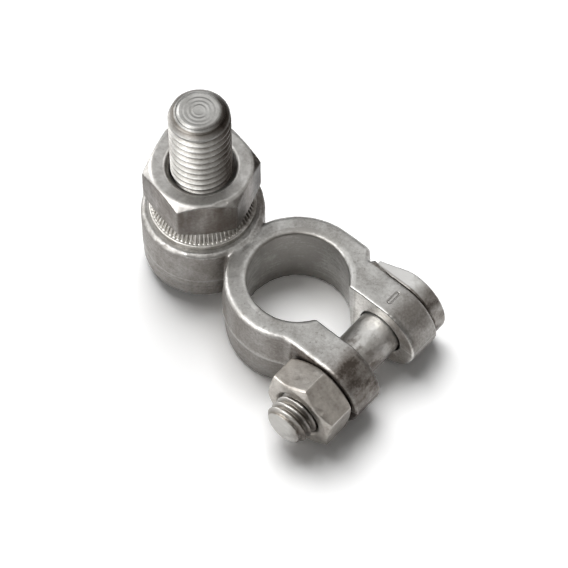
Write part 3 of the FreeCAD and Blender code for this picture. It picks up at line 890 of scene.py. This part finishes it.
def add_stain_and_shade(wires, mask):
    """Joins a mask to the coat's brown stains and painted shade, where another mask may be joined already."""
    socket = wires.nodes["coat"].inputs["Stain And Shade"]
    if socket.links:
        mask = wires.maths("MAXIMUM", socket.links[0].from_socket, mask)
    wires.join(mask, socket)


def scale_gain(wires, factor):
    """Multiplies the coat's gain, to which another node may be joined already."""
    socket = wires.nodes["coat"].inputs["Gain"]
    own = socket.links[0].from_socket if socket.links else 1.0
    wires.join(wires.maths("MULTIPLY", own, factor), socket)


def add_thread_root_shade(material, axis, across, radius, pitch):
    """Paints shade into a thread from its crest down to its root, by distance from the given axis."""
    wires = Wiring(material.node_tree)
    socket = wires.nodes["Principled BSDF"].inputs["Base Color"]
    crest = radius / MM
    root = (radius - GROOVE_DEPTH * pitch) / MM
    away = wires.vector("LENGTH", wires.off_axis(axis, across))
    down = wires.ramp(away, root, crest, 1.0, 0.0)
    inside = wires.ramp(away, root - ROOT_MARGIN, root)
    own = socket.links[0].from_socket
    wires.join(wires.blend(wires.maths("MULTIPLY", down, inside), own, THREAD_ROOT_SHADE, "MULTIPLY"), socket)


def add_end_stain(material, start, end, near, far):
    """Brown stains towards the ear ends, from one X to the other, with their amount at both ears."""
    wires = Wiring(material.node_tree)
    place = wires.place()
    x, y = wires.axes(place)[:2]
    clouds = wires.noise(wires.vector("MULTIPLY", place, END_STAIN_STRETCH), END_STAIN_SIZE)
    clouds = wires.ramp(clouds, *END_STAIN_CLOUDS)
    amount = wires.maths("MULTIPLY", clouds, wires.ramp(y, *EARS, near, far))
    add_stain_and_shade(wires, wires.maths("MULTIPLY", wires.ramp(x, start, end), amount))


def add_painted_side_shade(material, azimuth, start, end, radius, amount, gain, far=SIDE_SHADE_REACH):
    """Painted shade, brown and darker, on one side of the stud's axis, between two radii."""
    wires = Wiring(material.node_tree)
    offset = wires.off_axis(STUD_AXIS)
    away = wires.vector("LENGTH", offset)
    beyond = wires.ramp(away, radius, radius + INNER_BLEND)
    short = wires.ramp(away, far, far + OUTER_BLEND, 1.0, 0.0)
    side = wires.ramp(wires.facing(offset, azimuth), start, end)
    side = wires.maths("MULTIPLY", side, wires.maths("MULTIPLY", beyond, short))
    add_stain_and_shade(wires, wires.maths("MULTIPLY", side, amount))
    scale_gain(wires, wires.share(side, gain))


def add_blots(material, size, amount):
    """Brown blots all over, faint where the amount is low."""
    wires = Wiring(material.node_tree)
    blots = wires.noise(wires.vector("ADD", wires.place(), BLOT_SHIFT), size)
    add_stain_and_shade(wires, wires.maths("MULTIPLY", wires.ramp(blots, *BLOT_RANGE), amount))


def add_painted_seam_shade(material):
    """Painted shade in the gap where the bolt's head and nut meet the ears, in a thinner line at the nut."""
    wires = Wiring(material.node_tree)
    x, y = wires.axes(wires.place())[:2]
    off = wires.maths("ABSOLUTE", wires.maths("ADD", wires.maths("ABSOLUTE", y), NEAR_SEAT / MM))
    off = wires.maths("MULTIPLY", off, wires.ramp(y, *SEAM_THINNING))
    add_stain_and_shade(wires, wires.maths("MULTIPLY", wires.ramp(off, *SEAM_SHADE), wires.ramp(x, *SEAM_FROM)))


def add_lead_tone(material):
    """The stud's end face has a little painted shade that dims its highlight, and the rounded lead more."""
    wires = Wiring(material.node_tree)
    low = STUD_END / MM - LEAD_DEPTH
    away = wires.vector("LENGTH", wires.off_axis(STUD_AXIS))
    change = wires.ramp(away, *LEAD_RADII, END_GAIN - 1, LEAD_GAIN - 1)
    above = wires.ramp(wires.axes(wires.place())[2], low, low + LEAD_BLEND)
    scale_gain(wires, wires.maths("ADD", wires.maths("MULTIPLY", change, above), 1.0))


def add_punch_mark(material):
    """Outline of an oblong punch, darkened and pressed into the far ear's top."""
    wires = Wiring(material.node_tree)
    offset = wires.vector("SUBTRACT", wires.place(), PUNCH_START)
    square = sum(part * part for part in PUNCH_RUN)
    along = wires.ramp(wires.vector("DOT_PRODUCT", offset, PUNCH_RUN), 0, square)
    away = wires.vector("SUBTRACT", offset, wires.vector("SCALE", PUNCH_RUN, along))
    edge = wires.maths("ABSOLUTE", wires.maths("SUBTRACT", wires.vector("LENGTH", away), PUNCH_RADIUS))
    line = wires.ramp(edge, *PUNCH_LINE)
    add_stain_and_shade(wires, wires.maths("MULTIPLY", line, PUNCH_DARKENING))
    height = wires.nodes["coat"].outputs["Height"]
    deep = wires.maths("SUBTRACT", height, wires.maths("MULTIPLY", line, PUNCH_DEPTH))
    wires.join(deep, wires.nodes["relief"].inputs["Height"])


def add_machined_faces(material):
    """The reamed bore is brighter, partly as cleaner metal and partly as painted light, with turning marks
    and painted light and shade on its sides; the sawn slot gets a painted reflection and its rim painted
    shade; both keep little of the painted wall shade, and the parting line gets a painted highlight.
    """
    wires = Wiring(material.node_tree)
    coat = wires.nodes["coat"].inputs
    place = wires.place()
    x, y, z = wires.axes(place)
    across = wires.maths("ABSOLUTE", y)
    level = wires.levelness()
    offset = wires.off_axis()
    radius = wires.vector("LENGTH", offset)

    bore = wires.ramp(radius, MACHINED_RADIUS, MACHINED_RADIUS - MACHINED_BLEND)
    sawn = wires.ramp(across, SAWN_HALF, SAWN_HALF - MACHINED_BLEND)
    slot = wires.maths("MULTIPLY", sawn, wires.ramp(level, *SLOT_BY_LEVEL), wires.ramp(x, *SLOT_FROM))
    leaning = [wires.ramp(level, *numbers) for numbers in RIM_BY_LEVEL]
    rim = wires.maths("MULTIPLY", *leaning, wires.ramp(across, *RIM_ACROSS), wires.ramp(x, *RIM_FROM))
    kept = wires.share(wires.maths("MAXIMUM", bore, slot), MACHINED_WALL_SHADE)
    wires.join(wires.maths("MULTIPLY", kept, CAST_WALL_SHADE), coat["Wall Shade"])
    # Gain: the bore's partly painted light, the slot's a painted reflection, the rim's painted shade.
    gain = wires.maths("MAXIMUM", wires.share(bore, BORE_GAIN), wires.share(slot, SLOT_GAIN))
    wires.join(wires.maths("MULTIPLY", gain, wires.share(rim, RIM_GAIN)), coat["Gain"])

    streaks = wires.noise(wires.vector("MULTIPLY", place, TURNING_STRETCH), TURNING_SIZE)
    # Painted light and shade on the bore's sides, by azimuth, added to the turning marks.
    sides = [wires.ramp(wires.facing(offset, azimuth), *numbers) for azimuth, numbers in BORE_SIDE_LIGHT_AND_SHADE]
    turned = wires.maths("ADD", wires.ramp(streaks, *TURNING_TONE), *sides)
    off = wires.maths("ABSOLUTE", wires.maths("SUBTRACT", z, HALF_HEIGHT / MM))
    outside = wires.ramp(radius, BORE_CLEAR / MM, BORE_CLEAR / MM + FLASH_BLEND)
    # Painted highlight along the parting line, outside the bore.
    ridge = wires.maths("MULTIPLY", wires.ramp(off, *FLASH_HIGHLIGHT), outside)
    wires.join(wires.maths("ADD", wires.maths("MULTIPLY", bore, turned), ridge), coat["Tone Shift"])


def add_nut_tones(material):
    """The stud nut has painted shade on its flats, upright streaks, and painted light in its countersink."""
    wires = Wiring(material.node_tree)
    coat = wires.nodes["coat"].inputs
    away = wires.vector("LENGTH", wires.off_axis(STUD_AXIS))
    inner = wires.ramp(away, COUNTERSINK, COUNTERSINK - COUNTERSINK_BLEND)
    # Painted shade on the flats, none in the countersink, which is brightened with painted light.
    wires.join(wires.share(inner, 0.0), coat["Wall Shade"])
    wires.join(wires.share(inner, COUNTERSINK_GAIN), coat["Gain"])
    streaks = wires.noise(wires.vector("MULTIPLY", wires.place(), STREAK_STRETCH), STREAK_SIZE)
    wires.join(wires.ramp(streaks, *STREAK_TONE), coat["Tone Shift"])


def add_shank_tone(material):
    """The bolt's shank has painted light towards the far ear, painted shade towards the near ear, and brown
    blots; its threaded end has painted shade. Its head is evenly bright.
    """
    wires = Wiring(material.node_tree)
    place = wires.place()
    x, y = wires.axes(place)[:2]
    in_slot = wires.ramp(wires.maths("ABSOLUTE", y), *SHANK_IN_SLOT)
    # Painted light towards the far ear and painted shade towards the near ear, and painted shade on the
    # threaded end.
    shank = wires.maths("MULTIPLY", wires.ramp(y, *SHANK_LIGHT_AND_SHADE), in_slot)
    head = wires.maths(
        "MULTIPLY", wires.ramp(y, *HEAD_FROM), wires.ramp(x, *HEAD_TONE), wires.ramp(y, *HEAD_FACE_TONE),
    )
    others = wires.maths("ADD", wires.ramp(y, *SHANK_END_SHADE), head)
    wires.join(wires.maths("ADD", shank, others), wires.nodes["coat"].inputs["Tone Shift"])
    blots = wires.noise(wires.vector("MULTIPLY", place, SHANK_BLOT_STRETCH), SHANK_BLOT_SIZE)
    blots = wires.maths("MULTIPLY", wires.ramp(blots, *SHANK_BLOT_RANGE), wires.ramp(y, *SHANK_BLOT_AMOUNT))
    add_stain_and_shade(wires, wires.maths("MULTIPLY", blots, in_slot))
    scale_gain(wires, wires.ramp(head, *HEAD_GAIN))


def make_lamp(name, azimuth, elevation, size, power):
    data = bpy.data.lights.new(name, "AREA")
    data.shape = "SQUARE"
    data.size = size
    data.energy = power
    lamp = bpy.data.objects.new(name, data)
    bpy.context.scene.collection.objects.link(lamp)
    back = towards(azimuth, elevation)
    lamp.location = back * LAMP_DISTANCE
    lamp.rotation_mode = "QUATERNION"
    lamp.rotation_quaternion = back.to_track_quat("Z", "Y")
    return lamp


def make_world():
    """Pale room, brighter on the window's side, dim on the other, with a dark stretch low on the far wall."""
    world = bpy.data.worlds.new("studio")
    bpy.context.scene.world = world
    world.use_nodes = True
    wires = Wiring(world.node_tree)
    way = wires.add("TexCoord").outputs["Generated"]
    side = wires.vector("DOT_PRODUCT", way, towards(*WINDOW_SIDE))
    tones = wires.add("ValToRGB")
    wires.join(wires.ramp(side, -1, 1), tones.inputs["Fac"])
    dim, pale = tones.color_ramp.elements
    dim.position, dim.color = ROOM_TONES[0]
    pale.position, pale.color = ROOM_TONES[-1]
    for position, colour in ROOM_TONES[1:-1]:
        tones.color_ramp.elements.new(position).color = colour
    kept = wires.ramp(wires.vector("DOT_PRODUCT", way, towards(*FAR_WALL)), *FAR_WALL_KEEPS)
    walls = wires.vector("SCALE", tones.outputs["Color"], kept)
    diffuse = wires.add("LightPath").outputs["Is Diffuse Ray"]
    wires.join(wires.blend(diffuse, walls, ROOM_ON_FLOOR), wires.nodes["Background"].inputs["Color"])


def make_floor():
    """Pale floor. The camera and the metal see it brighter than it lights the object, more so far away."""
    deselect()
    bpy.ops.mesh.primitive_plane_add(size=FLOOR_SIZE, location=(0, 0, cad_low.z))
    floor = bpy.context.object
    floor.name = "floor"
    material = bpy.data.materials.new("pale floor")
    material.use_nodes = True
    wires = Wiring(material.node_tree)
    wires.nodes.remove(wires.nodes["Principled BSDF"])
    rays = wires.add("LightPath").outputs
    seen = wires.maths("MAXIMUM", rays["Is Camera Ray"], rays["Is Glossy Ray"], rays["Is Transmission Ray"])
    away = wires.vector("LENGTH", wires.add("TexCoord").outputs["Object"])
    tone = wires.blend(seen, FLOOR_COLOUR, wires.ramp(away, *FLOOR_REACH, *FLOOR_SEEN))
    paper = wires.add("BsdfDiffuse")
    wires.join(tone, paper.inputs["Color"])
    wires.join(paper.outputs["BSDF"], wires.nodes["Material Output"].inputs["Surface"])
    floor.data.materials.append(material)


def make_camera():
    data = bpy.data.cameras.new("camera")
    data.lens = CAMERA_LENS
    data.sensor_width = 36.0
    data.clip_start = 0.01
    data.clip_end = 20.0
    camera = bpy.data.objects.new("camera", data)
    bpy.context.scene.collection.objects.link(camera)
    camera.location = CAMERA_PLACE
    camera.rotation_mode = "QUATERNION"
    camera.rotation_quaternion = (-towards(CAMERA_AZIMUTH, CAMERA_ELEVATION)).to_track_quat("-Z", "Y")
    bpy.context.scene.camera = camera


plating = make_plating_group()
metals = {name: make_metal(name, plating, *settings) for name, settings in METALS.items()}

# What sets a coat's gain comes before what scales it.
# The machined faces carry painted light and shade.
add_machined_faces(metals["cast tin"])
# The stud nut carries painted shade on its flats and painted light in its countersink.
add_nut_tones(metals["nut tin"])
add_punch_mark(metals["cast tin"])
# The bolt's shank carries painted light and shade.
add_shank_tone(metals["bolt tin"])
# Painted shade on the stud's end.
add_lead_tone(metals["turned tin"])
add_blots(metals["side nut tin"], *SIDE_NUT_BLOTS)
for name, *numbers in END_STAINS:
    add_end_stain(metals[name], *numbers)
# Painted shade on one side of the stud's axis.
for name, *numbers in PAINTED_SIDE_SHADES:
    add_painted_side_shade(metals[name], *numbers)
# Painted shade where the bolt's head and nut meet the ears.
for name in ("cast tin", "bolt tin", "side nut tin"):
    add_painted_seam_shade(metals[name])
# Painted shade in the roots of both threads.
add_thread_root_shade(metals["turned tin"], STUD_AXIS, (1, 1, 0), STUD_RADIUS, STUD_PITCH)
add_thread_root_shade(metals["bolt tin"], BOLT_AXIS, (1, 0, 1), BOLT_RADIUS, BOLT_PITCH)

make_casting(metals["cast tin"])
make_stud(metals["turned tin"])
make_washer(metals["washer tin"])
make_nut("stud_nut", "hexagon_nut", "top_nut", metals["nut tin"], STUD_NUT_MARKS, STUD_NUT_ROUNDS)
make_bolt(metals["bolt tin"])
make_nut("clamp_nut", "cross_bolt_nut", "side_nut", metals["side nut tin"], SIDE_NUT_MARKS, SIDE_NUT_ROUNDS)

make_world()
make_lamp("window", *WINDOW).visible_glossy = False
for name, *numbers in METAL_BOXES:
    make_lamp(name, *numbers).visible_diffuse = False
make_floor()
make_camera()
bpy.context.scene.view_settings.view_transform = "Standard"
